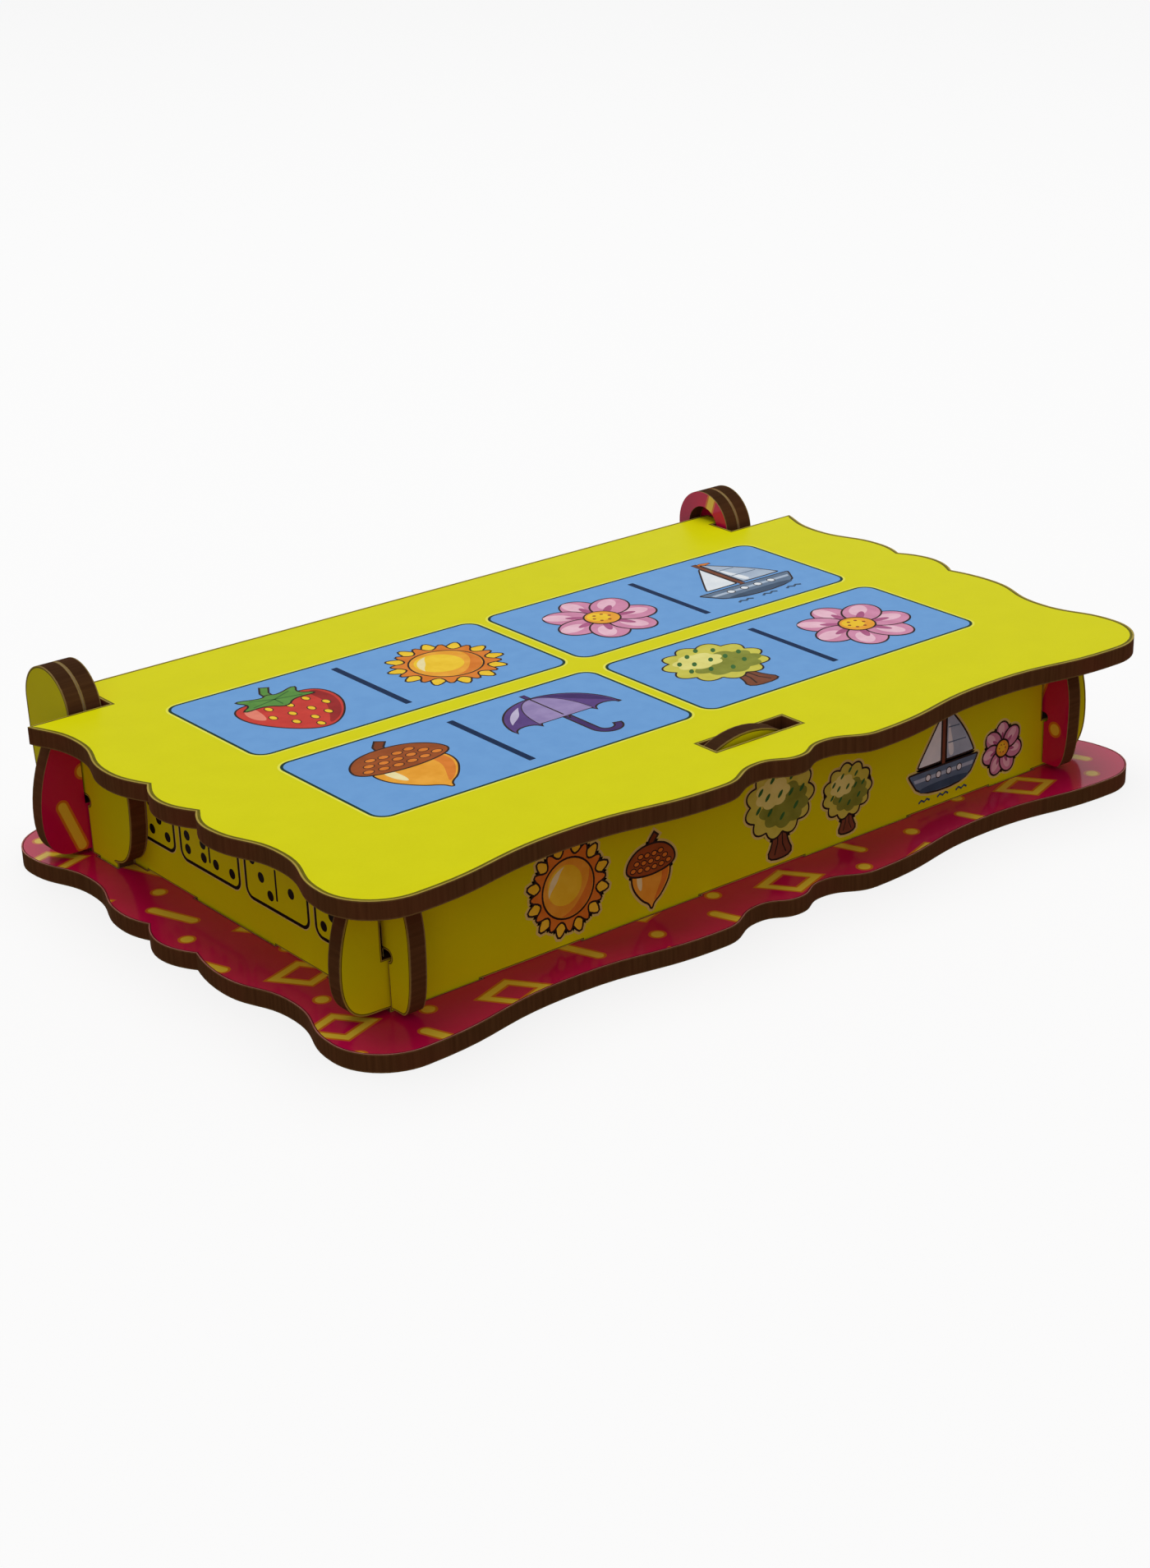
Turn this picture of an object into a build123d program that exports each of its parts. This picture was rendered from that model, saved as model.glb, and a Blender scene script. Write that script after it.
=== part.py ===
from build123d import *
import os

# A picture domino set: 28 flat tiles in a shallow hinged box of laser-cut board.
# Origin on the underside of the base, at the middle of its outline.
# X runs along the front, Y towards the hinge and Z up, in millimetres.

# Board, and the play that the cutter leaves
sheet = 3.0
slot_play = 0.3
lap_play = 0.3
tab_recess = 0.2
plate_gap = 0.2
lid_gap = 0.1

# Tiles and the room that the box gives them
tile_length = 65.0
tile_width = 33.0
tile_thickness = 3.0
tile_corner = 2.0
layers = 7
highest_number = 6
end_room = 1.2
side_room = 2.0
middle_gap_x = 5.4
middle_gap_y = 8.0
headroom = 0.2

# Scalloped outline that the base and the lid share
overhang_x = 12.1
overhang_y = 12.3
corner_radius = 9.9
wave_depth = 3.1
front_crest = 16.6
front_trough = 6.8
front_lobe_recess = 0.9
side_crest = 14.4
side_cusp = 7.0
side_cusp_depth = 2.4
plain_lobe_shift = -0.9
proud_lobe_shift = 1.5
lobe_proud = 1.0

# Rounded ears where the walls cross
cross_ear_reach = 8.3
cross_ear_top = 4.6
cross_ear_belly = 7.8
side_ear_reach = 5.9
side_ear_top = 3.9
side_ear_belly = 12.5
cover_ear_reach = 14.2
cover_ear_top = 12.8
cover_ear_foot = 7.5
ear_foot = 3.2
ear_lift = 0.8
lap_height = 9.0
lap_spare = 1.3
lap_relief = 0.9
front_lap_room = 0.6

# Hinge
axis_setback = 7.0
lug_radius = 7.1
hole_radius = 4.2
pivot_play = 0.5
tongue_rear = 2.0
notch_gap = 2.0
notch_side_gap = 0.6
tongue_end_gap = 0.3

# Latch
latch_width = 14.0
latch_place = -1.0
latch_proud = 1.1
latch_shoulder = 0.5
latch_play_rear = 0.5
latch_play_front = 1.0
latch_play_end = 0.4
latch_spare = 3.2

# Tabs that stand in the base
long_tab = 24.0
long_tab_place = 23.5
end_tab = 11.0
end_tab_inset = 2.5
side_tab = 23.0
side_end_tab = 10.0
rear_tab = 6.0
rear_tab_gap = 2.0
cover_tab = 6.0
cover_tab_gap = 2.5

# Places that follow from the sizes above
inner_x = tile_length + middle_gap_x / 2 + end_room
inner_y = tile_width + middle_gap_y / 2 + side_room
outer_x = inner_x + sheet
outer_y = inner_y + sheet
cover_in = outer_x + plate_gap
cover_out = cover_in + sheet
floor_z = sheet
wall_top = floor_z + layers * tile_thickness + headroom
lid_under = wall_top + lid_gap
lid_top = lid_under + sheet
lap_z = floor_z + lap_height
half_x = outer_x + overhang_x
half_y = outer_y + overhang_y
axis_y = outer_y + axis_setback
axis_z = lid_under + sheet / 2
tongue_front = ((hole_radius - pivot_play) ** 2 - (sheet / 2) ** 2) ** 0.5
lid_rear = axis_y + tongue_rear
notch_y = axis_y - lug_radius - notch_gap
notch_x = inner_x - notch_side_gap
end_tab_place = inner_x - end_tab_inset - end_tab / 2
side_end_place = inner_y - end_tab_inset - side_end_tab / 2
rear_tab_place = outer_y + rear_tab_gap + rear_tab / 2
cover_tab_place = inner_y - cover_tab_gap - cover_tab / 2
latch_low = latch_place - latch_width / 2
latch_high = latch_place + latch_width / 2

cross_tabs = ((-end_tab_place, end_tab), (-long_tab_place, long_tab),
              (long_tab_place, long_tab), (end_tab_place, end_tab))
side_tabs = ((-side_end_place, side_end_tab), (0, side_tab),
             (side_end_place, side_end_tab), (rear_tab_place, rear_tab))
cover_tabs = ((cover_tab_place, cover_tab), (rear_tab_place, rear_tab))


def finish(piece, name):
    """Label a piece and write its file."""
    piece.part.label = name
    export_step(piece.part, "parts/" + name + ".step")


def box_face(low_x, low_y, high_x, high_y, mode=Mode.ADD):
    """A rectangle between two corners of the present sketch."""
    with Locations(((low_x + high_x) / 2, (low_y + high_y) / 2)):
        Rectangle(high_x - low_x, high_y - low_y, mode=mode)


def s_curve(start, end, along):
    """A smooth step between two crests, level at both ends; along is 0 for X and 1 for Y."""
    middle = (start[along] + end[along]) / 2
    first = (middle, start[1]) if along == 0 else (start[0], middle)
    last = (middle, end[1]) if along == 0 else (end[0], middle)
    Bezier(start, first, last, end)


def outline_quarter(way_x, way_y, lobe_y, proud):
    """One quarter of the outline, from the middle of a long edge round to a side lobe's tip."""
    def at(along, across):
        return (way_x * along, way_y * across)

    lobe_x = half_x + proud
    lobe_middle = way_y * lobe_y
    cusp = lobe_middle + side_cusp
    corner_front = half_x - corner_radius
    corner_side = half_y - corner_radius
    front_dip = at((front_crest + corner_front) / 2, half_y - wave_depth)
    side_dip = at(half_x - wave_depth, (side_crest + corner_side) / 2)
    front_low = at(front_trough, half_y - wave_depth)
    side_low = at(lobe_x - side_cusp_depth, cusp)
    with BuildLine() as quarter:
        s_curve(at(0, half_y - front_lobe_recess), front_low, 0)
        s_curve(front_low, at(front_crest, half_y), 0)
        s_curve(at(front_crest, half_y), front_dip, 0)
        s_curve(front_dip, at(corner_front, half_y), 0)
        JernArc(at(corner_front, half_y), at(1, 0), corner_radius, -90 * way_x * way_y)
        s_curve(at(half_x, corner_side), side_dip, 1)
        s_curve(side_dip, at(half_x, side_crest), 1)
        Bezier(at(half_x, side_crest), at(half_x, (side_crest + cusp) / 2), side_low)
        Bezier(side_low, at(lobe_x, (cusp + lobe_middle) / 2), at(lobe_x, lobe_middle))
        Line(at(lobe_x, lobe_middle), at(0, lobe_middle))
        Line(at(0, lobe_middle), at(0, half_y - front_lobe_recess))
    make_face(quarter.edges())


def scalloped_outline(proud_side):
    """The outline of base and lid; the middle lobe of one side stands further out than the other's."""
    for way_x in (-1, 1):
        lobe_y, proud = (proud_lobe_shift, lobe_proud) if way_x == proud_side else (plain_lobe_shift, 0)
        for way_y in (-1, 1):
            outline_quarter(way_x, way_y, lobe_y, proud)


def tab_slots():
    """Slots in the base, one for each tab, with play all round."""
    for side in (-1, 1):
        for place, length in cross_tabs:
            with Locations((place, side * (inner_y + sheet / 2))):
                Rectangle(length + 2 * slot_play, sheet + 2 * slot_play, mode=Mode.SUBTRACT)
        for place, length in side_tabs:
            with Locations((side * (inner_x + sheet / 2), place)):
                Rectangle(sheet + 2 * slot_play, length + 2 * slot_play, mode=Mode.SUBTRACT)
        for place, length in cover_tabs:
            with Locations((side * (cover_in + sheet / 2), place)):
                Rectangle(sheet + 2 * slot_play, length + 2 * slot_play, mode=Mode.SUBTRACT)


def ear(base_at, tip, shoulder, belly, foot, top):
    """A barrel-shaped ear on a wall's end, from its foot round the belly to the top edge."""
    way = 1 if tip > base_at else -1
    foot_z = floor_z + ear_lift
    belly_z = floor_z + belly
    foot_at = tip - way * foot
    with BuildLine() as rim:
        Line((base_at, top), (shoulder, top))
        Bezier((shoulder, top), (tip, (top + belly_z) / 2), (tip, belly_z))
        Bezier((tip, belly_z), (tip, foot_z), (foot_at, foot_z))
        Line((foot_at, foot_z), (base_at, foot_z))
        Line((base_at, foot_z), (base_at, top))
    make_face(rim.edges())


def tabs(places):
    """Tabs along the foot of a wall."""
    for place, length in places:
        box_face(place - length / 2, tab_recess, place + length / 2, floor_z + ear_lift)


def lap_slot_top(low, high):
    """A half-lap slot open at the top of a wall."""
    box_face(low - lap_play, lap_z - lap_play / 2, high + lap_play, lid_top, mode=Mode.SUBTRACT)


def lap_slot_foot(low, high):
    """A half-lap slot open at the foot of a wall, with round relief at its inner corners."""
    top = lap_z + lap_spare
    box_face(low - lap_play, 0, high + lap_play, top, mode=Mode.SUBTRACT)
    with Locations((low - lap_play, top - lap_relief), (high + lap_play, top - lap_relief)):
        Circle(lap_relief, mode=Mode.SUBTRACT)


def cross_wall_face(ear_root):
    """The front or back wall: straight between the crossings, with an ear at each end."""
    reach = ear_root + cross_ear_reach
    box_face(-ear_root, floor_z, ear_root, wall_top)
    for side in (-1, 1):
        ear(side * ear_root, side * reach, side * (ear_root + cross_ear_top),
            cross_ear_belly, cross_ear_reach - ear_foot, wall_top)
    tabs(cross_tabs)


def lug(front_at, foot_at):
    """The round hinge lug and the wall below it, down to a rounded rear foot."""
    rear = axis_y + lug_radius
    foot_z = floor_z + ear_lift
    with Locations((axis_y, axis_z)):
        Circle(lug_radius)
    with BuildLine() as rim:
        Line((front_at, foot_z), (front_at, axis_z))
        Line((front_at, axis_z), (rear, axis_z))
        Bezier((rear, axis_z), (rear, lap_z), (rear - ear_lift, foot_z), (foot_at, foot_z))
        Line((foot_at, foot_z), (front_at, foot_z))
    make_face(rim.edges())


# Base plate
with BuildPart() as base_plate:
    with BuildSketch(Plane.XY):
        scalloped_outline(-1)
        tab_slots()
    extrude(amount=sheet)

# Front wall, with the rounded latch tongue that stands through the lid
with BuildPart() as front_wall:
    with BuildSketch(Plane.XZ.offset(inner_y)):
        cross_wall_face(outer_x)
        latch_side = lid_top - latch_shoulder
        box_face(latch_low, wall_top, latch_high, latch_side)
        with BuildLine():
            ThreePointArc((latch_low, latch_side), (latch_place, lid_top + latch_proud),
                          (latch_high, latch_side))
            Line((latch_low, latch_side), (latch_high, latch_side))
        make_face()
        for side in (-1, 1):
            low, high = sorted((side * inner_x, side * (outer_x + front_lap_room)))
            lap_slot_top(low, high)
    extrude(amount=sheet)

# Back wall, with double-width laps for the side wall and the hinge cover
with BuildPart() as back_wall:
    with BuildSketch(Plane.XZ.offset(-outer_y)):
        cross_wall_face(cover_out)
        for side in (-1, 1):
            low, high = sorted((side * inner_x, side * cover_out))
            lap_slot_top(low, high)
    extrude(amount=sheet)


def side_wall_face():
    """A side wall: front ear, straight top and the hinge lug behind the back wall."""
    box_face(-outer_y, floor_z, outer_y, wall_top)
    ear(-outer_y, -outer_y - side_ear_reach, -outer_y - side_ear_top,
        side_ear_belly, side_ear_reach - ear_foot, wall_top)
    lug(outer_y, axis_y)
    tabs(side_tabs)
    lap_slot_foot(-outer_y, -inner_y)
    lap_slot_foot(inner_y, outer_y)
    with Locations((axis_y, axis_z)):
        Circle(hole_radius, mode=Mode.SUBTRACT)


def cover_face():
    """A hinge cover: a short outer plate that closes the pivot hole from outside."""
    box_face(inner_y - cover_ear_foot, floor_z, outer_y, wall_top)
    ear(inner_y, inner_y - cover_ear_reach, inner_y - cover_ear_top,
        side_ear_belly, cover_ear_reach - cover_ear_foot, wall_top)
    lug(outer_y, axis_y)
    tabs(cover_tabs)
    lap_slot_foot(inner_y, outer_y)


# Side walls and hinge covers, each cut in the YZ plane
with BuildPart() as left_side_wall:
    with BuildSketch(Plane.YZ.offset(-outer_x)):
        side_wall_face()
    extrude(amount=sheet)

with BuildPart() as right_side_wall:
    with BuildSketch(Plane.YZ.offset(inner_x)):
        side_wall_face()
    extrude(amount=sheet)

with BuildPart() as left_hinge_cover:
    with BuildSketch(Plane.YZ.offset(-cover_out)):
        cover_face()
    extrude(amount=sheet)

with BuildPart() as right_hinge_cover:
    with BuildSketch(Plane.YZ.offset(cover_in)):
        cover_face()
    extrude(amount=sheet)

# Lid panel, with a tongue on each side that turns in the lug's hole
with BuildPart() as lid_panel:
    with BuildSketch(Plane.XY.offset(lid_under)):
        scalloped_outline(1)
        box_face(-half_x, lid_rear, half_x, half_y, mode=Mode.SUBTRACT)
        for side in (-1, 1):
            low, high = sorted((side * notch_x, side * half_x))
            box_face(low, notch_y, high, half_y, mode=Mode.SUBTRACT)
        tongue_end = cover_in - tongue_end_gap
        box_face(-tongue_end, axis_y - tongue_front, tongue_end, lid_rear)
        box_face(latch_low - latch_play_end, -outer_y - latch_play_front,
                 latch_high + latch_play_end + latch_spare, -inner_y + latch_play_rear,
                 mode=Mode.SUBTRACT)
    extrude(amount=sheet)

os.makedirs("parts", exist_ok=True)
finish(base_plate, "base_plate")
finish(front_wall, "front_wall")
finish(back_wall, "back_wall")
finish(left_side_wall, "left_side_wall")
finish(right_side_wall, "right_side_wall")
finish(left_hinge_cover, "left_hinge_cover")
finish(right_hinge_cover, "right_hinge_cover")
finish(lid_panel, "lid_panel")

# The tiles: every pair of numbers once, dealt into four stacks
column_x = (tile_length + middle_gap_x) / 2
row_y = (tile_width + middle_gap_y) / 2
stacks = ((-column_x, -row_y), (column_x, -row_y), (-column_x, row_y), (column_x, row_y))
pairs = [(low, high) for low in range(highest_number + 1) for high in range(low, highest_number + 1)]
for count, (low, high) in enumerate(pairs):
    stack_x, stack_y = stacks[count % len(stacks)]
    layer_z = floor_z + (count // len(stacks)) * tile_thickness
    with BuildPart() as tile:
        with BuildSketch(Plane.XY.offset(layer_z)):
            with Locations((stack_x, stack_y)):
                RectangleRounded(tile_length, tile_width, tile_corner)
        extrude(amount=tile_thickness)
    finish(tile, f"domino_{low}_{high}")
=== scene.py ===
import math

import bmesh
import bpy
from mathutils import Euler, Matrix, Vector


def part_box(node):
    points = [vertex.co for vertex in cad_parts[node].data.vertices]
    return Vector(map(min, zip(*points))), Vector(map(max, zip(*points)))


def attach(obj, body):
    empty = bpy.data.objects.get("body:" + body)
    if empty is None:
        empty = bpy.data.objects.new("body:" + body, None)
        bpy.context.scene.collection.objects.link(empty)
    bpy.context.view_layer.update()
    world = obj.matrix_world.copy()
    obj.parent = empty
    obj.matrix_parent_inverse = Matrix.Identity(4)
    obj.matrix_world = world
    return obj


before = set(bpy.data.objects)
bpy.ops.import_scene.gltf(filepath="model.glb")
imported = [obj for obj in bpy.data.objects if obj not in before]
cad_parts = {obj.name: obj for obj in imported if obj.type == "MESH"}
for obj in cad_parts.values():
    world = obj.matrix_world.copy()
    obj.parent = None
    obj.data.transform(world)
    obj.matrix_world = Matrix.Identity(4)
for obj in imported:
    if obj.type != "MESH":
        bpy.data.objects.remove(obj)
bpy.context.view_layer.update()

# A picture domino set in a flat hinged box of laser-cut printed board.
# Lengths below are in millimetres, and MM turns them into the scene's metres.
MM = 0.001
X, Y, Z = 0, 1, 2


# Where the boards lie, read from the frame

def span(node, axis):
    """Where a CAD node starts and ends along an axis."""
    low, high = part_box(node)
    return low[axis] / MM, high[axis] / MM


lid_top = span("lid_panel", Z)[1]
floor_top = span("base_plate", Z)[1]
wall_top = span("back_wall", Z)[1]
wall_middle = (floor_top + wall_top) / 2
front_face = span("front_wall", Y)[0]
left_face = span("left_side_wall", X)[0]
tile_nodes = sorted(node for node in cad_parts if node.startswith("domino_"))


# Materials

def colour(code):
    """An sRGB hex colour as the linear colour that a shader takes."""
    parts = [int(code[k:k + 2], 16) / 255 for k in (1, 3, 5)]
    return tuple(v / 12.92 if v <= 0.04045 else ((v + 0.055) / 1.055) ** 2.4 for v in parts) + (1.0,)


def add(tree, kind, inputs=None, output=0, **settings):
    """Add a node, set and link its inputs, and return one of its outputs."""
    node = tree.nodes.new("ShaderNode" + kind)
    for name, value in settings.items():
        setattr(node, name, value)
    for socket, value in (inputs or {}).items():
        if isinstance(value, bpy.types.NodeSocket):
            tree.links.new(value, node.inputs[socket])
        else:
            node.inputs[socket].default_value = value
    return node.outputs[output] if node.outputs else None


# A Mix node holds every data type's sockets, so its colour ones go by number
FACTOR, FROM, TO = 0, 6, 7
MIX_COLOURS = {"output": 2, "data_type": "RGBA"}


def new_material(name):
    """An empty material with its shader and output in place."""
    material = bpy.data.materials.new(name)
    material.use_nodes = True
    tree = material.node_tree
    tree.nodes.clear()
    shader = add(tree, "BsdfPrincipled")
    add(tree, "OutputMaterial", {"Surface": shader})
    return material, tree, shader.node


# How softly the patches of two close colours part, as limits on the noise between them
PATCH_LIMITS = {"From Min": 0.35, "From Max": 0.65}


def mottled(tree, where, base, other, size):
    """Two close colours mixed in soft patches of a size in millimetres."""
    patches = add(tree, "TexNoise", {"Vector": where, "Scale": 1 / (size * MM), "Detail": 3.0})
    share = add(tree, "MapRange", {"Value": patches, **PATCH_LIMITS})
    return add(tree, "Mix", {FACTOR: share, FROM: colour(base), TO: colour(other)}, **MIX_COLOURS)


# Printed film: strong flat colour, satin on the yellow side and glossy on the red. Its grain is too fine
# to show, so it is drawn as coarse as it needs to be. A patch is a stretch of one of two close colours.
FILM_ROUGHNESS = 0.3
FILM_SPECULAR = 0.01
FILM_GRAIN = 0.45
GRAIN_LEVELS = {"To Min": 0.985, "To Max": 1.01}
GLOSS_ROUGHNESS = 0.12
GLOSS_WEIGHT = 0.55
YELLOW = "#D7D40A"
YELLOW_DEEP = "#D5D209"
YELLOW_PATCH = 7.0
RED = "#C60C4C"
RED_DEEP = "#BE0A46"
RED_PATCH = 9.0


def yellow_print(tree, where, axis):
    """The yellow side of the board, which is plain and so looks the same across every axis."""
    broad = mottled(tree, where, YELLOW, YELLOW_DEEP, YELLOW_PATCH)
    grain = add(tree, "TexNoise", {"Vector": where, "Scale": 1 / (FILM_GRAIN * MM), "Detail": 1.0})
    level = add(tree, "MapRange", {"Value": grain, **GRAIN_LEVELS})
    return add(tree, "VectorMath", {0: broad, "Scale": level}, operation="SCALE")


# The red side's pattern fills equal cells that are turned on the board. Each cell has a diamond in its
# middle, dots halfway to the next diamonds, and a slanting bar.
PATTERN_TURN = math.radians(18)
CELL = (27.0, 19.0)
DIAMOND_PLACE = (4.0, 3.0)
DOT_RADIUS = 1.05
BAR_PLACE = (17.5, 12.5)
BAR_TURN = math.radians(52)
BAR_HALF_LENGTH = 4.0
BAR_RADIUS = 0.8

# A diamond's four sides are bands: the way that one faces, how far out its middle line lies,
# and half its width
DIAMOND_SIDE = (0.6, 0.8, 0)
DIAMOND_REACH = 2.9
BAND_HALF_WIDTH = 0.62

# The pattern is yellow with an orange rim: how far past its shapes each ink goes, and how softly it ends
PATTERN_INKS = ((0.42, "#D0701C"), (0, "#E6C43A"))
PATTERN_SOFTNESS = 0.06

# How far the pattern is shifted on boards that face along X, Y and Z
PATTERN_SHIFT = ((4.0, 2.8), (0.0, 0.0), (0.0, 0.0))


def cell_place(tree, flat, middle, shift):
    """The place inside the pattern's cell, measured from a middle that is shifted with the pattern."""
    start = (-(middle[0] + shift[0]), -(middle[1] + shift[1]), 0)
    shifted = add(tree, "VectorMath", {0: flat, 1: start}, operation="ADD")
    cells = add(tree, "VectorMath", {0: shifted, 1: (*CELL, 1)}, operation="DIVIDE")
    part = add(tree, "VectorMath", {0: cells}, operation="FRACTION")
    centred = add(tree, "VectorMath", {0: part, 1: (0.5, 0.5, 0)}, operation="SUBTRACT")
    return add(tree, "VectorMath", {0: centred, 1: (*CELL, 0)}, operation="MULTIPLY")


def disc_distance(tree, place, centre, radius):
    """The distance to a disc's rim, negative inside it."""
    away = add(tree, "VectorMath", {0: place, 1: (*centre, 0)}, operation="SUBTRACT")
    length = add(tree, "VectorMath", {0: away}, operation="LENGTH", output=1)
    return add(tree, "Math", {0: length, 1: radius}, operation="SUBTRACT")


def red_print(tree, where, axis):
    """The red side of the board, with its pattern laid in the plane across an axis."""
    parts = add(tree, "SeparateXYZ", {0: where}).node.outputs
    first, second = [k for k in (X, Y, Z) if k != axis]
    joined = add(tree, "CombineXYZ", {0: parts[first], 1: parts[second]})
    flat = add(tree, "VectorMath", {0: joined, "Scale": 1 / MM}, operation="SCALE")
    turned = add(tree, "VectorRotate", {"Vector": flat, "Angle": PATTERN_TURN}, rotation_type="Z_AXIS")

    # A diamond and its dots are the same in all four quarters, so one quarter is worked out
    diamond_place = cell_place(tree, turned, DIAMOND_PLACE, PATTERN_SHIFT[axis])
    quarter = add(tree, "VectorMath", {0: diamond_place}, operation="ABSOLUTE")
    reach = add(tree, "VectorMath", {0: quarter, 1: DIAMOND_SIDE}, operation="DOT_PRODUCT", output=1)
    off_side = add(tree, "Math", {0: reach, 1: DIAMOND_REACH}, operation="SUBTRACT")
    off_side = add(tree, "Math", {0: off_side}, operation="ABSOLUTE")
    diamond = add(tree, "Math", {0: off_side, 1: BAND_HALF_WIDTH}, operation="SUBTRACT")
    beside = disc_distance(tree, quarter, (CELL[0] / 2, 0), DOT_RADIUS)
    above = disc_distance(tree, quarter, (0, CELL[1] / 2), DOT_RADIUS)

    # A bar is a disc drawn out along its length: the distance counts only past the bar's half length
    bar_place = cell_place(tree, turned, BAR_PLACE, PATTERN_SHIFT[axis])
    bar_place = add(tree, "VectorRotate", {"Vector": bar_place, "Angle": BAR_TURN}, rotation_type="Z_AXIS")
    bar_quarter = add(tree, "VectorMath", {0: bar_place}, operation="ABSOLUTE")
    beyond = add(tree, "VectorMath", {0: bar_quarter, 1: (BAR_HALF_LENGTH, 0, 0)}, operation="SUBTRACT")
    past_end = add(tree, "VectorMath", {0: beyond, 1: (0, 0, 0)}, operation="MAXIMUM")
    bar = disc_distance(tree, past_end, (0, 0), BAR_RADIUS)

    nearest = diamond
    for shape in (bar, beside, above):
        nearest = add(tree, "Math", {0: nearest, 1: shape}, operation="MINIMUM")
    paint = mottled(tree, where, RED, RED_DEEP, RED_PATCH)
    for limit, code in PATTERN_INKS:
        share = add(tree, "MapRange", {"Value": nearest, "From Min": limit + PATTERN_SOFTNESS,
                                       "From Max": limit - PATTERN_SOFTNESS})
        paint = add(tree, "Mix", {FACTOR: share, FROM: paint, TO: colour(code)}, **MIX_COLOURS)
    return paint


# Laser-cut board edge: matt charred brown, with fine streaks along the beam, painted shade that darkens it
# where it faces up and the light from above falls, and a pale line beside each face. The line's limits are
# shares of the board's thickness, from its middle.
EDGE_ROUGHNESS = 0.78
CHAR_DARK = "#4E311B"
CHAR_LIGHT = "#664529"
CHAR_RED = "#6A3726"
CHAR_PATCH = 14.0
RED_CHAR_LIMITS = {"From Min": 0.45, "From Max": 0.7, "To Max": 0.5}
STREAK_WIDTH = 0.55
STREAK_LENGTH = 9.0
STREAK_LIMITS = {"From Min": 0.2, "From Max": 0.85}
STREAK_BUMP = 0.2
STREAK_DEPTH = 0.1
# Painted shade: how dark the edge is painted where it faces up, so that tops lit from above look as dark
# as the sides
UPWARD_SHADE = "#1E120C"
UPWARD_SHADE_LIMITS = {"From Min": 0.0, "From Max": 0.9, "To Max": 0.62}
LINE_COLOUR = "#8E7848"
LINE_WANDER = 0.02
LINE_LIMITS = {"From Min": 0.425, "From Max": 0.445}

# How much of the pale line shows on the edges of boards that face along X, Y and Z
LINE_SHARE = (0.85, 0.5, 0.4)


def burnt_edge(tree, where, upward, depth, axis):
    """A board's cut edge: its colour and its streaks. Depth goes from 0 to 1 through the board."""
    stretch = [1 / (STREAK_WIDTH * MM)] * 3
    stretch[axis] = 1 / (STREAK_LENGTH * MM)
    along_beam = add(tree, "VectorMath", {0: where, 1: stretch}, operation="MULTIPLY")
    streaks = add(tree, "TexNoise", {"Vector": along_beam, "Scale": 1.0, "Detail": 3.0})
    patches = add(tree, "TexNoise", {"Vector": where, "Scale": 1 / (CHAR_PATCH * MM), "Detail": 2.0})
    share = add(tree, "MapRange", {"Value": streaks, **STREAK_LIMITS})
    reddish = add(tree, "MapRange", {"Value": patches, **RED_CHAR_LIMITS})
    # Painted shade: the edge is darkened where it faces up, against the light from above
    painted_top_shade = add(tree, "MapRange", {"Value": upward, **UPWARD_SHADE_LIMITS})
    off_middle = add(tree, "Math", {0: depth, 1: 0.5}, operation="SUBTRACT")
    off_middle = add(tree, "Math", {0: off_middle}, operation="ABSOLUTE")
    wander = add(tree, "MapRange", {"Value": streaks, "To Min": -LINE_WANDER, "To Max": LINE_WANDER})
    off_middle = add(tree, "Math", {0: off_middle, 1: wander}, operation="ADD")
    line = add(tree, "MapRange", {"Value": off_middle, **LINE_LIMITS, "To Max": LINE_SHARE[axis]})
    paint = colour(CHAR_DARK)
    for amount, code in ((share, CHAR_LIGHT), (reddish, CHAR_RED), (painted_top_shade, UPWARD_SHADE), (line, LINE_COLOUR)):
        paint = add(tree, "Mix", {FACTOR: amount, FROM: paint, TO: colour(code)}, **MIX_COLOURS)
    return paint, streaks


def printed_board(name, axis, low, high, low_print, high_print):
    """Board printed on both faces and cut by a laser; axis is across its thickness."""
    material, tree, shader = new_material(name)
    where = add(tree, "TexCoord", output="Object")
    place = add(tree, "SeparateXYZ", {0: where}).node.outputs[axis]
    normal = add(tree, "SeparateXYZ", {0: add(tree, "TexCoord", output="Normal")}).node.outputs
    depth = add(tree, "MapRange", {"Value": place, "From Min": low * MM, "From Max": high * MM})
    steep = add(tree, "Math", {0: normal[axis]}, operation="ABSOLUTE")
    on_face = add(tree, "Math", {0: steep, 1: 0.5}, operation="GREATER_THAN")
    on_high = add(tree, "Math", {0: normal[axis], 1: 0.0}, operation="GREATER_THAN")
    edge, streaks = burnt_edge(tree, where, normal["Z"], depth, axis)
    face = add(tree, "Mix", {FACTOR: on_high, FROM: low_print(tree, where, axis),
                             TO: high_print(tree, where, axis)}, **MIX_COLOURS)
    paint = add(tree, "Mix", {FACTOR: on_face, FROM: edge, TO: face}, **MIX_COLOURS)
    rough = add(tree, "MapRange", {"Value": on_face, "To Min": EDGE_ROUGHNESS, "To Max": FILM_ROUGHNESS})
    relief = add(tree, "MapRange", {"Value": on_face, "To Min": STREAK_BUMP, "To Max": 0.0})
    bump = add(tree, "Bump", {"Height": streaks, "Strength": relief, "Distance": STREAK_DEPTH * MM})
    on_red = on_high
    if high_print is not red_print:
        on_red = add(tree, "Math", {0: 1.0, 1: on_high}, operation="SUBTRACT")
    gloss = add(tree, "Math", {0: on_face, 1: on_red}, operation="MULTIPLY")
    gloss = add(tree, "Math", {0: gloss, 1: GLOSS_WEIGHT}, operation="MULTIPLY")
    tree.links.new(paint, shader.inputs["Base Color"])
    tree.links.new(rough, shader.inputs["Roughness"])
    tree.links.new(bump, shader.inputs["Normal"])
    tree.links.new(gloss, shader.inputs["Coat Weight"])
    shader.inputs["Coat Roughness"].default_value = GLOSS_ROUGHNESS
    shader.inputs["Specular IOR Level"].default_value = FILM_SPECULAR
    return material


# UV ink: flat satin colour, a little uneven like a screened tint
INK_PATCH = 2.6


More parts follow.
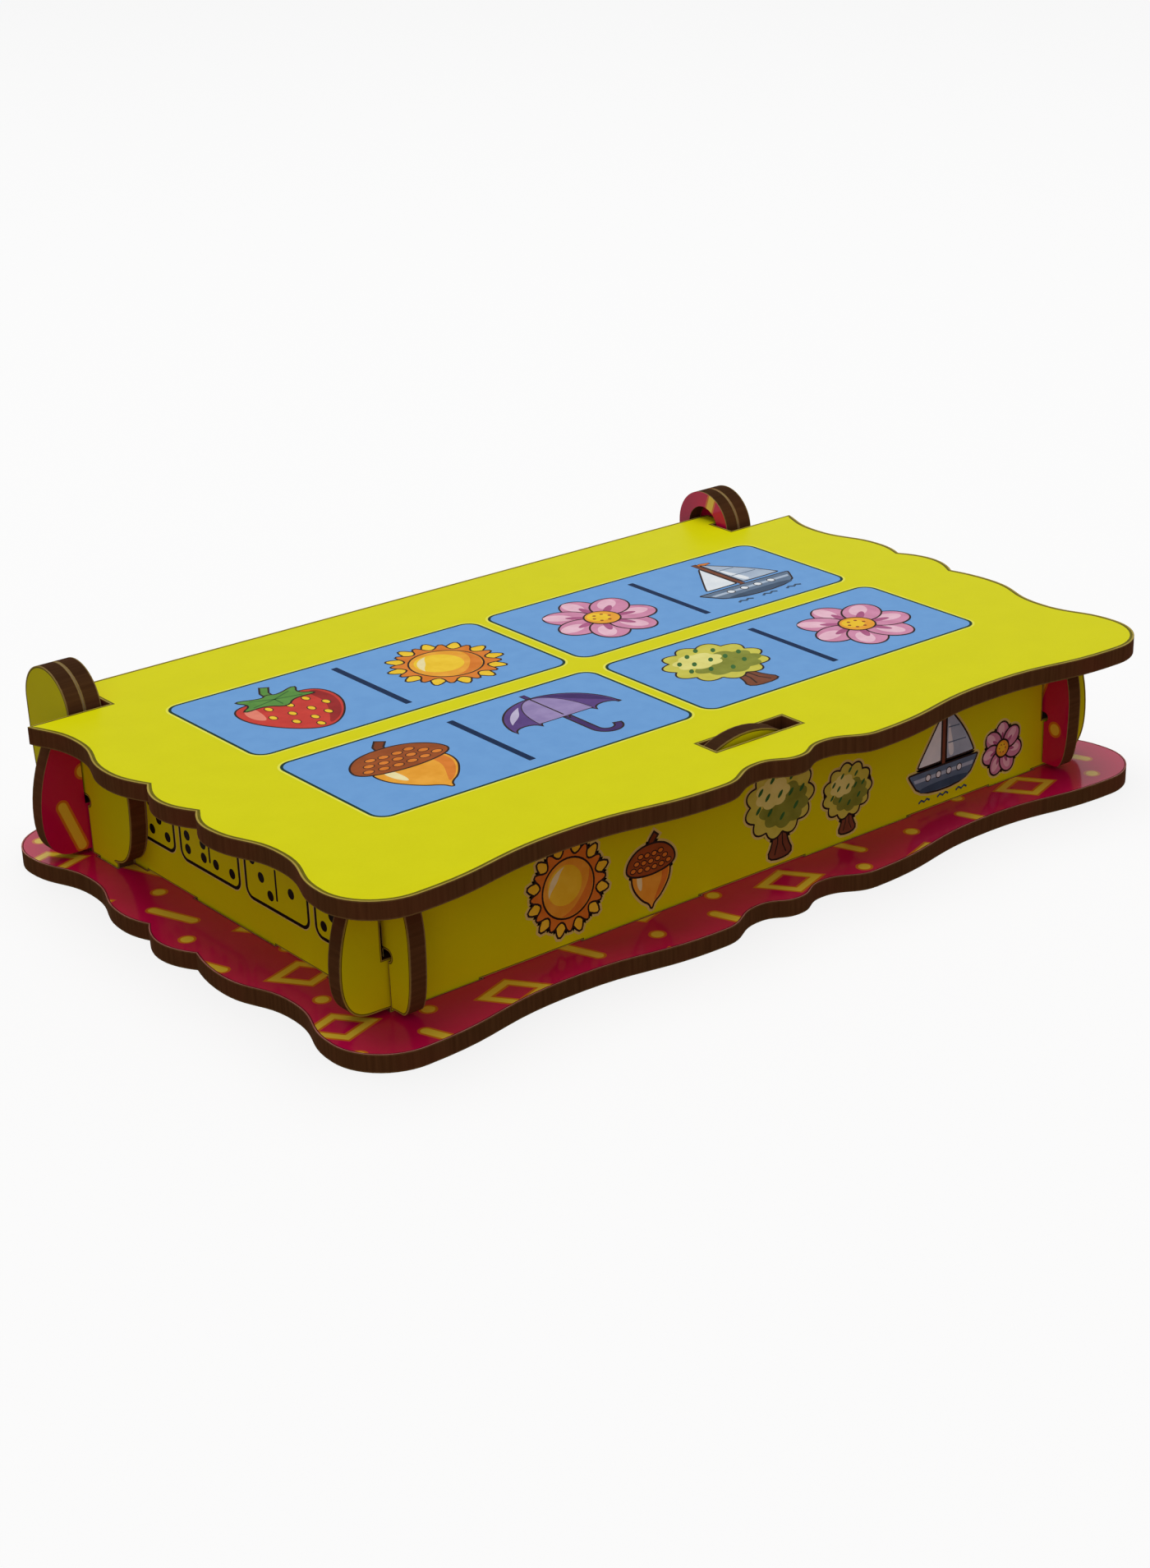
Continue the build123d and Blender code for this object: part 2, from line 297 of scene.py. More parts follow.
def ink(name, code, deep):
    """UV ink printed on the board, in two close colours."""
    material, tree, shader = new_material(name)
    where = add(tree, "TexCoord", output="Object")
    tint = mottled(tree, where, code, deep, INK_PATCH)
    tree.links.new(tint, shader.inputs["Base Color"])
    shader.inputs["Roughness"].default_value = FILM_ROUGHNESS
    shader.inputs["Specular IOR Level"].default_value = FILM_SPECULAR
    return material


INKS = {
    "outline": ("#33241E", "#2A1D19"),
    "panel_line": ("#173A2E", "#153428"),
    "panel_halo": ("#E4E35C", "#E0DF50"),
    "panel_blue": ("#6FA2D9", "#6B9ED6"),
    "divider": ("#0F2A50", "#0D2648"),
    "halo": ("#D8C878", "#D0BE68"),
    "black": ("#1A120E", "#140E0B"),
    "yellow_ground": (YELLOW, YELLOW_DEEP),
    "rim_pale": ("#AC9844", "#9E8A3A"),
    "rim_dark": ("#6C6406", "#605805"),
    "glue": ("#8E7E66", "#7A6A52"),
    "rim_rose": ("#C0807A", "#A86A62"),
    "rim_wine": ("#6A0A1E", "#5A0818"),
    "violet": ("#5F4684", "#553D78"),
    "plum": ("#47316A", "#3F2B60"),
    "lilac": ("#9C8CBA", "#8E7EAE"),
    "mist": ("#C4BCD6", "#B8AFCC"),
    "pink": ("#D48FAE", "#C982A2"),
    "rose": ("#B05F88", "#A4547C"),
    "blush": ("#EBC0D0", "#E2B2C4"),
    "cream": ("#EFE4AE", "#E8DAA0"),
    "orange": ("#DE8232", "#D27626"),
    "amber": ("#EDA93C", "#E49C2E"),
    "rust": ("#9E5226", "#8E4820"),
    "chestnut": ("#7A3C1C", "#6E3418"),
    "sun_yellow": ("#F2CC38", "#EBC02A"),
    "lime": ("#CEC856", "#C4BD48"),
    "straw": ("#E4DE86", "#DCD578"),
    "moss": ("#8A9038", "#7C822E"),
    "trunk": ("#7E4A34", "#70402C"),
    "slate": ("#667A92", "#5C7088"),
    "steel": ("#43566E", "#3C4E64"),
    "sky_grey": ("#AEBED0", "#A2B2C6"),
    "white": ("#E6EBEF", "#DCE3E9"),
    "red": ("#CC4238", "#C03A32"),
    "crimson": ("#9E2A2A", "#902424"),
    "salmon": ("#E88A76", "#E07E6A"),
    "leaf_green": ("#5E9444", "#54883C"),
    "pine": ("#3C6C34", "#35622E"),
}
ink_materials = {name: ink("ink_" + name, *codes) for name, codes in INKS.items()}


# Flat outlines, in millimetres

def circle(radius, centre=(0, 0), tall=1.0, turn=0.0, steps=40):
    """A circle, or an ellipse where tall isn't 1, turned by an angle in degrees."""
    cos_turn, sin_turn = math.cos(math.radians(turn)), math.sin(math.radians(turn))
    points = []
    for k in range(steps):
        x = radius * math.cos(math.tau * k / steps)
        y = radius * tall * math.sin(math.tau * k / steps)
        points.append((centre[0] + x * cos_turn - y * sin_turn, centre[1] + x * sin_turn + y * cos_turn))
    return points


def smooth(points, rounds=3):
    """A closed outline with its corners cut at a quarter of each side, round after round, to a curve."""
    for _ in range(rounds):
        cut = []
        for (x0, y0), (x1, y1) in zip(points, points[1:] + points[:1]):
            cut.append((x0 * 0.75 + x1 * 0.25, y0 * 0.75 + y1 * 0.25))
            cut.append((x0 * 0.25 + x1 * 0.75, y0 * 0.25 + y1 * 0.75))
        points = cut
    return points


# How far a sharp corner may run out when its outline is moved outwards
CORNER_LIMIT = 0.6


def grown(points, by):
    """A closed outline moved outwards by a distance."""
    area = sum(x0 * y1 - x1 * y0 for (x0, y0), (x1, y1) in zip(points, points[1:] + points[:1]))
    way = 1 if area > 0 else -1
    corners = []
    for before, here, after in zip(points[-1:] + points[:-1], points, points[1:] + points[:1]):
        first = (Vector(here) - Vector(before)).normalized()
        second = (Vector(after) - Vector(here)).normalized()
        normal = Vector((first.y + second.y, -first.x - second.x)) * way
        if normal.length > 0:
            normal.normalize()
        spread = max(CORNER_LIMIT, normal.dot(Vector((first.y, -first.x)) * way))
        corners.append(tuple(Vector(here) + normal * by / spread))
    return corners


def placed(outline, centre, size=1.0):
    """An outline drawn at a place and size."""
    return [(centre[0] + x * size, centre[1] + y * size) for x, y in outline]


def stroke(points, width):
    """A line of even width along some points."""
    left, right = [], []
    for k, here in enumerate(points):
        before, after = points[max(k - 1, 0)], points[min(k + 1, len(points) - 1)]
        way = (Vector(after) - Vector(before)).normalized() * width / 2
        left.append((here[0] - way.y, here[1] + way.x))
        right.append((here[0] + way.y, here[1] - way.x))
    return left + right[::-1]


def arc(radius, start, end, centre=(0, 0), steps=14):
    """Points along a circle between two angles in degrees."""
    angles = [math.radians(start + (end - start) * k / steps) for k in range(steps + 1)]
    return [(centre[0] + radius * math.cos(a), centre[1] + radius * math.sin(a)) for a in angles]


def rounded_box(width, height, radius, steps=8):
    """A rectangle with round corners."""
    points = []
    for quarter, (way_x, way_y) in enumerate(((1, 1), (-1, 1), (-1, -1), (1, -1))):
        centre = (way_x * (width / 2 - radius), way_y * (height / 2 - radius))
        points += arc(radius, 90 * quarter, 90 * quarter + 90, centre, steps)
    return points


def lobed(radius, lobes, depth, centre=(0, 0), tall=1.0, turn=0.0, steps=120):
    """A round outline with lobes that meet in cusps, such as a tree's crown."""
    points = []
    for k in range(steps):
        angle = math.tau * k / steps
        reach = radius * (1 - depth + depth * abs(math.cos(lobes / 2 * angle + math.radians(turn))))
        points.append((centre[0] + reach * math.cos(angle), centre[1] + reach * tall * math.sin(angle)))
    return points


def crescent(radius, start, end, depth, centre=(0, 0), steps=16):
    """A sickle along the inside of a circle between two angles in degrees, for shade or shine."""
    outer, inner = [], []
    for k in range(steps + 1):
        angle = math.radians(start + (end - start) * k / steps)
        reach = radius * (1 - depth * math.sin(math.pi * k / steps))
        outer.append((centre[0] + radius * math.cos(angle), centre[1] + radius * math.sin(angle)))
        inner.append((centre[0] + reach * math.cos(angle), centre[1] + reach * math.sin(angle)))
    return outer + inner[-2:0:-1]


def star(points, outer, inner, turn=0.0):
    """A star's outline with its first point at an angle in degrees."""
    corners = []
    for k in range(2 * points):
        angle = math.radians(turn) + math.pi * k / points
        reach = inner if k % 2 else outer
        corners.append((reach * math.cos(angle), reach * math.sin(angle)))
    return corners


# The pictures: each is a list of layers, and a layer is its outlines, its ink and its line's width.
# They fit a circle of one radius, with their top towards +Y, and are drawn in a line of even width.
PICTURE_RADIUS = 10.0
PICTURE_LINE = 0.34
FINE_LINE = 0.18
NO_LINE = 0


def sun_picture():
    """A sun with two rings of pointed rays round a shaded disc."""
    return [([smooth(star(12, 10.6, 6.4, 15), 2)], "sun_yellow", PICTURE_LINE),
            ([smooth(star(12, 9.6, 5.6), 2)], "orange", PICTURE_LINE),
            ([circle(5.8)], "amber", PICTURE_LINE),
            ([crescent(5.7, -110, 30, 0.34)], "orange", NO_LINE),
            ([circle(4.0, (-0.8, 0.8))], "sun_yellow", NO_LINE),
            ([crescent(4.6, 100, 190, 0.3)], "cream", NO_LINE)]


def flower_picture():
    """A flower with seven shaded petals, each over the one before, and a seeded heart."""
    petals = 7
    layers = []
    for n in range(petals):
        turn = 90 + 360 * n / petals
        way = (math.cos(math.radians(turn)), math.sin(math.radians(turn)))
        layers += [([circle(4.0, (way[0] * 5.6, way[1] * 5.6), 0.78, turn)], "pink", PICTURE_LINE),
                   ([circle(2.5, (way[0] * 6.6 - 0.5, way[1] * 6.6 + 0.5), 0.6, turn)], "blush", NO_LINE),
                   ([circle(2.2, (way[0] * 3.9, way[1] * 3.9), 0.3, turn)], "rose", NO_LINE)]
    seeds = [circle(0.32, (1.5 * math.cos(turn), 1.5 * math.sin(turn)), steps=8) for turn in range(6)]
    layers += [([circle(2.9)], "amber", PICTURE_LINE),
               ([circle(1.9, (-0.4, 0.5))], "sun_yellow", NO_LINE),
               (seeds, "rust", NO_LINE)]
    return layers


def strawberry_picture():
    """A strawberry with seeds, a veined collar of leaves and a stem."""
    body = smooth([(0, -10.2), (4.6, -7.2), (8.4, -0.8), (7.8, 5), (2.6, 5.8), (0, 4.6),
                   (-2.6, 5.8), (-7.8, 5), (-8.4, -0.8), (-4.6, -7.2)])
    shade = smooth([(0.4, -9.4), (4.6, -6.8), (7.9, -0.6), (7.2, 4.6), (5.2, 4.4), (5.6, -0.6), (3, -5.6)])
    shine = smooth([(-6.6, 3.8), (-4.4, 4.4), (-4.8, 0.2), (-5.8, -2), (-7.2, 0.2)])
    seeds = [circle(0.5, place, 1.6, steps=12)
             for place in ((-3, 2), (0.4, 1.4), (3.8, 2.2), (-4.4, -1.4), (-1.2, -1.8), (2.2, -1.8),
                           (5.4, -1), (-2.6, -5), (0.6, -5.2), (3.4, -4.6), (-0.2, -8))]
    leaves = smooth([(0, 7.4), (1.4, 6.2), (5.8, 8.2), (3.8, 5.2), (7, 3.2), (2.4, 3.8), (0, 1.2),
                     (-2.4, 3.8), (-7, 3.2), (-3.8, 5.2), (-5.8, 8.2), (-1.4, 6.2)], 2)
    stem = stroke([(0, 6), (0.2, 8.2), (1.4, 10.2)], 1.1)
    veins = [stroke([(0, 5), tip], 0.28)
             for tip in ((3.6, 6.6), (4.4, 4), (-3.6, 6.6), (-4.4, 4), (0, 2.6))]
    return [([body], "red", PICTURE_LINE), ([shade], "crimson", NO_LINE), ([shine], "salmon", NO_LINE),
            (seeds, "sun_yellow", FINE_LINE), ([stem], "leaf_green", PICTURE_LINE),
            ([leaves], "leaf_green", PICTURE_LINE), (veins, "pine", NO_LINE)]


def tree_picture():
    """A round tree with a lobed crown, a few leaves picked out on it, and a flared trunk."""
    trunk = smooth([(-1.3, 0), (-1.5, -6), (-3.6, -9.8), (3.6, -9.8), (1.5, -6), (1.3, 0)], 2)
    bark = [stroke([(-0.5, -3), (-0.6, -6.6), (-1.4, -9)], 0.3),
            stroke([(0.6, -4), (0.7, -7), (1.6, -9)], 0.3)]
    crown = lobed(8.9, 11, 0.17, (0, 2.4), 0.88, 20)
    shade = lobed(6.6, 9, 0.16, (1.1, 1.0), 0.72, 60)
    light = lobed(4.6, 7, 0.16, (-1.9, 4.3), 0.7, 10)
    leaves = [circle(0.95, place, 0.42, 50, steps=14)
              for place in ((-5.6, 1.6), (-2.6, 0.4), (0.6, -1.2), (4.2, 0.2), (5.8, 3.4), (2.9, 3.3),
                            (3.2, 6.6), (0.1, 3.6), (-3.2, 3.7), (-5.0, 5.2), (-1.9, 7.0), (0.9, 8.2))]
    return [([trunk], "trunk", PICTURE_LINE), (bark, "outline", NO_LINE), ([crown], "lime", PICTURE_LINE),
            ([shade], "moss", NO_LINE), ([light], "straw", NO_LINE), (leaves, "pine", NO_LINE)]


def boat_picture():
    """A sailing boat with two sails, portholes in its hull, and waves."""
    hull = smooth([(-9.8, -3.2), (-9.6, -3), (9.6, -3), (9.8, -3.2), (6.8, -8), (-6.4, -8)], 2)
    keel = smooth([(-7.2, -6.2), (7.9, -6.2), (6.6, -7.9), (-6.3, -7.9)], 2)
    stripe = [(-8.6, -4.2), (8.8, -4.2), (8.4, -5), (-8.2, -5)]
    mast = stroke([(0, -3.4), (0, 10.2)], 0.8)
    main_sail = smooth([(0.9, 9.2), (0.9, 9), (0.9, -1.6), (1, -1.8), (8.4, -1.8), (8.6, -1.6),
                        (5.8, 3.6)], 2)
    fold = smooth([(1.2, 7), (1.2, -1.4), (3.2, -1.4), (2.2, 3)], 2)
    fore_sail = smooth([(-0.9, 7.6), (-0.9, 7.4), (-0.9, -1.6), (-1, -1.8), (-7, -1.8), (-7.2, -1.6),
                        (-4.2, 2.8)], 2)
    seams = [stroke([(1.2, 5), (4.4, 4.8)], 0.26), stroke([(1.2, 1.6), (6.4, 1.4)], 0.26)]
    ports = [circle(0.62, (x, -4.6), steps=16) for x in (-4.4, -1.4, 1.6, 4.6)]
    flag = smooth([(0.4, 10.2), (0.4, 8.9), (3.6, 9.3)], 1)
    wave = [(-1.6, -9.6), (-0.8, -9.1), (0, -9.6), (0.8, -9.1), (1.6, -9.6)]
    waves = [stroke(placed(wave, (x, 0)), 0.45) for x in (-5.4, 0, 5.4)]
    return [([mast], "trunk", FINE_LINE), ([flag], "orange", FINE_LINE),
            ([main_sail], "sky_grey", PICTURE_LINE), ([fold], "white", NO_LINE),
            ([fore_sail], "white", PICTURE_LINE), (seams, "slate", NO_LINE),
            ([hull], "slate", PICTURE_LINE), ([keel], "steel", NO_LINE), ([stripe], "sky_grey", NO_LINE),
            (ports, "white", FINE_LINE), (waves, "steel", NO_LINE)]


def umbrella_picture():
    """An open umbrella with a scalloped hem between its ribs and a hooked handle."""
    handle = stroke([(0, 2), (0, -6.6)] + arc(2.0, 180, 350, (2.0, -6.8)), 1.0)
    hem = -0.6
    rib_ends = [9.8, 5.2, 0, -5.2, -9.8]
    scallops = []
    for right, left in zip(rib_ends, rib_ends[1:]):
        middle, half = (left + right) / 2, (right - left) / 2
        scallops += [(middle + half * math.cos(a), hem + 1.5 * math.sin(a))
                     for a in (math.pi * k / 8 for k in range(8))]
    dome = arc(9.8, 0, 180, (0, hem), 30) + scallops[::-1]
    middle_gores = [(x * 0.53, y) for x, y in arc(9.5, 4, 176, (0, -0.5), 28)]
    shade = crescent(9.6, 4, 80, 0.2, (0, hem))
    shine = crescent(9.0, 112, 160, 0.14, (0, -0.8))
    rib = stroke([(0, 9), (0, 0.8)], 0.3)
    tip = stroke([(0, 9), (0, 11)], 0.7)
    return [([handle], "plum", PICTURE_LINE), ([tip], "plum", FINE_LINE), ([dome], "violet", PICTURE_LINE),
            ([shade], "plum", NO_LINE), ([middle_gores], "lilac", FINE_LINE), ([shine], "mist", NO_LINE),
            ([rib], "outline", NO_LINE)]


def acorn_picture():
    """An acorn, point down, in a scaly cap with a bent stem."""
    nut = smooth([(-6.2, 2), (-6.4, -2.6), (-3.2, -7.2), (-0.6, -8.8), (0, -10.6),
                  (0.6, -8.8), (3.2, -7.2), (6.4, -2.6), (6.2, 2)])
    shade = smooth([(0.4, -8.9), (3.2, -6.8), (6, -2.4), (5.8, 1), (3.6, 1), (3.8, -2.6), (2, -6)])
    shine = smooth([(-4.9, 0.4), (-3.2, 0.4), (-3, -3.4), (-3.6, -4.8), (-4.8, -2.6)])
    cap = smooth([(-8.2, 0.8), (-7.8, 4.6), (-3.6, 7.8), (3.6, 7.8), (7.8, 4.6), (8.2, 0.8), (0, -0.8)])
    scales = [circle(0.8, place, 0.7, steps=14)
              for place in ((-6, 1.9), (-3.6, 1.5), (-1.2, 1.3), (1.2, 1.3), (3.6, 1.5), (6, 1.9),
                            (-4.8, 3.6), (-2.4, 3.3), (0, 3.2), (2.4, 3.3), (4.8, 3.6),
                            (-3.4, 5.3), (-1.2, 5.1), (1.2, 5.1), (3.4, 5.3))]
    stem = stroke([(0, 7), (0.4, 8.8), (1.8, 10.4)], 1.3)
    return [([nut], "amber", PICTURE_LINE), ([shade], "orange", NO_LINE), ([shine], "cream", NO_LINE),
            ([stem], "chestnut", PICTURE_LINE), ([cap], "rust", PICTURE_LINE),
            (scales, "orange", FINE_LINE)]


# One picture for each number of a double-six set
UMBRELLA, ACORN, FLOWER, SUN, TREE, BOAT, STRAWBERRY = range(7)
pictures = [umbrella_picture(), acorn_picture(), flower_picture(), sun_picture(),
            tree_picture(), boat_picture(), strawberry_picture()]


def make_piece(mesh, name, materials, body):
    """Turn a bmesh into an object of the scene that rides on a body."""
    data = bpy.data.meshes.new(name)
    mesh.to_mesh(data)
    mesh.free()
    for material in materials:
        data.materials.append(material)
    piece = bpy.data.objects.new(name, data)
    bpy.context.scene.collection.objects.link(piece)
    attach(piece, body)


class Drawing:
    """A print on one face of a board, built up from flat outlines in layers a few microns apart."""
    LIFT = 0.003

    def __init__(self, origin, along, up):
        self.origin = Vector(origin)
        self.along = Vector(along)
        self.up = Vector(up)
        self.out = self.along.cross(self.up)
        self.mesh = bmesh.new()
        self.inks = []
        self.level = 1

    def layer(self, outlines, ink_name):
        """One layer of ink over the layers before it."""
        if ink_name not in self.inks:
            self.inks.append(ink_name)
        height = self.out * self.level * self.LIFT
        for outline in outlines:
            corners = [self.origin + self.along * x + self.up * y + height for x, y in outline]
            face = self.mesh.faces.new([self.mesh.verts.new(corner * MM) for corner in corners])
            face.material_index = self.inks.index(ink_name)
            face.normal_update()
            if face.normal.dot(self.out) < 0:
                face.normal_flip()
        self.level += 1

    def shape(self, outlines, ink_name, line=NO_LINE, line_ink="outline"):
        """Outlines filled with ink, inside a line of another ink."""
        if line:
            self.layer([grown(outline, line) for outline in outlines], line_ink)
        self.layer(outlines, ink_name)

    def picture(self, number, centre, size, halo=0.0):
        """A number's picture at a place and size, with a pale halo behind it where halo is given."""
        layers = [([placed(outline, centre, size) for outline in outlines], name, line)
                  for outlines, name, line in pictures[number]]
        if halo:
            self.layer([grown(outline, line + halo) for outlines, _, line in layers if line
                        for outline in outlines], "halo")
        for outlines, name, line in layers:
            self.shape(outlines, name, line)

    def finish(self, name, body):
        """Make the print an object that rides on a body."""
        bmesh.ops.triangulate(self.mesh, faces=self.mesh.faces[:])
        make_piece(self.mesh, name, [ink_materials[i] for i in self.inks], body)


# The printed picture of a tile: a blue panel, a line across its middle and a picture on each half
PANEL = (62.0, 27.7)
PANEL_CORNER = 2.3
PANEL_LINE = 0.5
PANEL_HALO = 0.4
DIVIDER = (1.3, 22.0)
DIVIDER_CORNER = 0.2
TILE_PICTURE_SIZE = 1.08


def draw_tile(drawing, centre, first, second):
    """One tile's picture, from the board up, with the picture of each number in its half."""
    drawing.level = 1
    panel = placed(rounded_box(*PANEL, PANEL_CORNER), centre)
    drawing.layer([grown(panel, PANEL_LINE + PANEL_HALO)], "panel_halo")
    drawing.shape([panel], "panel_blue", PANEL_LINE, "panel_line")
    drawing.layer([placed(rounded_box(*DIVIDER, DIVIDER_CORNER), centre)], "divider")
    panel_level = drawing.level
    for number, side in ((first, -1), (second, 1)):
        drawing.level = panel_level
        drawing.picture(number, (centre[0] + side * PANEL[0] / 4, centre[1]), TILE_PICTURE_SIZE)


# Lid top: four tiles' pictures, a little off the middle as the sheet was cut
LID_PRINT_MIDDLE = (0.9, 1.4)
LID_TILE_PITCH = (65.3, 33.0)
LID_TILES = (((-1, 1), STRAWBERRY, SUN), ((1, 1), FLOWER, BOAT),
             ((-1, -1), ACORN, UMBRELLA), ((1, -1), TREE, FLOWER))
lid_print = Drawing((0, 0, lid_top), (1, 0, 0), (0, 1, 0))
for sides, first, second in LID_TILES:
    middle = [LID_PRINT_MIDDLE[k] + sides[k] * LID_TILE_PITCH[k] / 2 for k in (X, Y)]
    draw_tile(lid_print, middle, first, second)
lid_print.finish("lid_print", "lid")

# Tiles: the same kind of picture on each tile's own face
for node in tile_nodes:
    low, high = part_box(node)
    first, second = (int(part) for part in node.split("_")[1:])
    tile_print = Drawing(((low.x + high.x) / 2 / MM, (low.y + high.y) / 2 / MM, high.z / MM),
                         (1, 0, 0), (0, 1, 0))
    draw_tile(tile_print, (0, 0), first, second)
    tile_print.finish(node.replace("domino", "print"), "box")

# Front wall: pictures in a row, large and small ones in turn, all standing on a line below the wall's
# middle. Each has its picture, its middle along the wall and its size.
FRONT_LINE = -9.4
FRONT_HALO = 0.4
FRONT_PICTURES = ((SUN, -38.0, 0.84), (ACORN, -21.5, 0.6), (TREE, 6.0, 0.84), (TREE, 21.2, 0.62),
                  (BOAT, 44.0, 0.84), (FLOWER, 58.6, 0.5))
front_print = Drawing((0, front_face, wall_middle), (1, 0, 0), (0, 0, 1))
for number, place, size in FRONT_PICTURES:
    front_print.level = 1
    front_print.picture(number, (place, FRONT_LINE + PICTURE_RADIUS * size), size, FRONT_HALO)
front_print.finish("front_wall_print", "box")

# Left wall: a row of plain dominoes drawn in black, with pips at one spacing both ways
PLAIN_TILE = (16.6, 8.4)
PLAIN_TILE_CORNER = 1.4
PLAIN_LINE = 0.6
PLAIN_HALO = 0.2
PLAIN_BAR = (0.5, 5.4)
PLAIN_BAR_CORNER = 0.2
PLAIN_ROW_START = -25.5
PLAIN_ROW_PITCH = 19.2
PLAIN_NUMBERS = ((2, 5), (6, 4), (3, 1), (5, 6))
PIP_RADIUS = 0.88
PIP_SPACING = 2.35
PIP_PLACES = {1: ((0, 0),), 2: ((-1, 1), (1, -1)), 3: ((-1, 1), (0, 0), (1, -1)),
              4: ((-1, 1), (1, 1), (-1, -1), (1, -1)), 5: ((-1, 1), (1, 1), (0, 0), (-1, -1), (1, -1)),
              6: ((-1, 1), (-1, 0), (-1, -1), (1, 1), (1, 0), (1, -1))}
left_print = Drawing((left_face, 0, wall_middle), (0, -1, 0), (0, 0, 1))
for count, numbers in enumerate(PLAIN_NUMBERS):
    middle = PLAIN_ROW_START + count * PLAIN_ROW_PITCH
    left_print.level = 1
    tile = placed(rounded_box(*PLAIN_TILE, PLAIN_TILE_CORNER), (middle, 0))
    left_print.layer([grown(tile, PLAIN_LINE + PLAIN_HALO)], "halo")
    left_print.shape([tile], "yellow_ground", PLAIN_LINE, "black")
    marks = [placed(rounded_box(*PLAIN_BAR, PLAIN_BAR_CORNER), (middle, 0))]
    for number, side in zip(numbers, (-1, 1)):
        half_middle = middle + side * PLAIN_TILE[0] / 4
        marks += [circle(PIP_RADIUS, (half_middle + x * PIP_SPACING, y * PIP_SPACING), steps=20)
                  for x, y in PIP_PLACES[number]]
    left_print.layer(marks, "black")
left_print.finish("left_wall_print", "box")


# The film's edge on each board: a strip that the laser's heat bleached, then a line of scorch
WIDE_RIM = (0.3, 0.46)
FINE_RIM = (0.2, 0.16)
YELLOW_RIM = ("rim_pale", "rim_dark")
RED_RIM = ("rim_rose", "rim_wine")

# The glue squeezed out beside a hinge cover: how far inside the cover's border it starts, and its width
GLUE_START = 0.05
GLUE_WIDTH = 0.9

# How close a CAD mesh's loose corners are merged, and how squarely a face has to look along an axis
WELD = 0.001
SQUARE_TO_AXIS = 0.99


def face_copy(node, axis, way):
    """The faces of a CAD node that look one way along an axis, merged into one sheet."""
    mesh = bmesh.new()
    mesh.from_mesh(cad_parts[node].data)
    bmesh.ops.remove_doubles(mesh, verts=mesh.verts[:], dist=WELD * MM)
    mesh.normal_update()
    others = [face for face in mesh.faces if face.normal[axis] * way < SQUARE_TO_AXIS]
    bmesh.ops.delete(mesh, geom=others, context="FACES")
    return mesh


def border_bands(mesh, widths):
    """Cut bands along a sheet's border, from its edge inwards, and return each band's faces."""
    bands = []
    inner = mesh.faces[:]
    for width in widths:
        bands.append(bmesh.ops.inset_region(mesh, faces=inner, thickness=width * MM,
                                            use_boundary=True)["faces"])
        inner = [face for face in inner if face.is_valid]
    return bands


def keep_only(mesh, kept):
    """Delete all faces but the kept ones."""
    kept = set(kept)
    bmesh.ops.delete(mesh, geom=[face for face in mesh.faces if face not in kept], context="FACES")


def push(mesh, verts, axis, distance):
    """Move vertices along an axis."""
    way = Vector((0, 0, 0))
    way[axis] = distance * MM
    bmesh.ops.translate(mesh, verts=verts, vec=way)


def rim(node, axis, way, widths, rim_inks, body):
    """Inked bands along the border of a board's face."""
    mesh = face_copy(node, axis, way)
    bands = border_bands(mesh, widths)
    for index, band in enumerate(bands):
        for face in band:
            face.material_index = index
    keep_only(mesh, [face for band in bands for face in band])
    push(mesh, mesh.verts[:], axis, way * Drawing.LIFT)
    make_piece(mesh, "rim_" + node, [ink_materials[name] for name in rim_inks], body)


def glue_seam(node, axis, way, gap):
    """Dried glue along the border between a hinge cover and the side wall beside it."""
    mesh = face_copy(node, axis, way)
    keep_only(mesh, border_bands(mesh, (GLUE_START, GLUE_WIDTH))[1])
    sides = bmesh.ops.extrude_face_region(mesh, geom=mesh.faces[:])["geom"]
    push(mesh, [part for part in sides if isinstance(part, bmesh.types.BMVert)], axis, way * gap)
    bmesh.ops.recalc_face_normals(mesh, faces=mesh.faces[:])
    make_piece(mesh, "glue_" + node, [ink_materials["glue"]], "box")


rim("lid_panel", Z, 1, WIDE_RIM, YELLOW_RIM, "lid")
rim("base_plate", Z, 1, FINE_RIM, RED_RIM, "box")
rim("front_wall", Y, -1, FINE_RIM, YELLOW_RIM, "box")
rim("back_wall", Y, 1, FINE_RIM, YELLOW_RIM, "box")
for side, way in (("left", -1), ("right", 1)):
    wall, cover = side + "_side_wall", side + "_hinge_cover"
    rim(wall, X, way, FINE_RIM, YELLOW_RIM, "box")
    rim(cover, X, way, FINE_RIM, YELLOW_RIM, "box")
    wall_span, cover_span = span(wall, X), span(cover, X)
    gap = cover_span[0] - wall_span[1] if way > 0 else wall_span[0] - cover_span[1]
    glue_seam(cover, X, -way, gap)


# Boards: each has a material of its own, because it knows where the board's two faces lie.
# Each node has the axis across it, and the print on its low face and on its high one.
BOARD_PRINTS = {
    "lid_panel": (Z, red_print, yellow_print),
    "base_plate": (Z, yellow_print, red_print),
    "front_wall": (Y, yellow_print, red_print),
    "back_wall": (Y, red_print, yellow_print),
    "left_side_wall": (X, yellow_print, red_print),
    "right_side_wall": (X, red_print, yellow_print),
    "left_hinge_cover": (X, yellow_print, red_print),
    "right_hinge_cover": (X, red_print, yellow_print),
}
for node, (axis, low_print, high_print) in BOARD_PRINTS.items():
    board = printed_board("printed_board_" + node, axis, *span(node, axis), low_print, high_print)
    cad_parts[node].material_slots[0].material = board

# Tiles that lie in the same layer of the stacks share a material
layer_boards = {}
for node in tile_nodes:
    low, high = span(node, Z)
    height = round(low)
    if height not in layer_boards:
        layer_boards[height] = printed_board(f"printed_board_tiles_{height}", Z, low, high,
                                             red_print, yellow_print)
    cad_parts[node].material_slots[0].material = layer_boards[height]


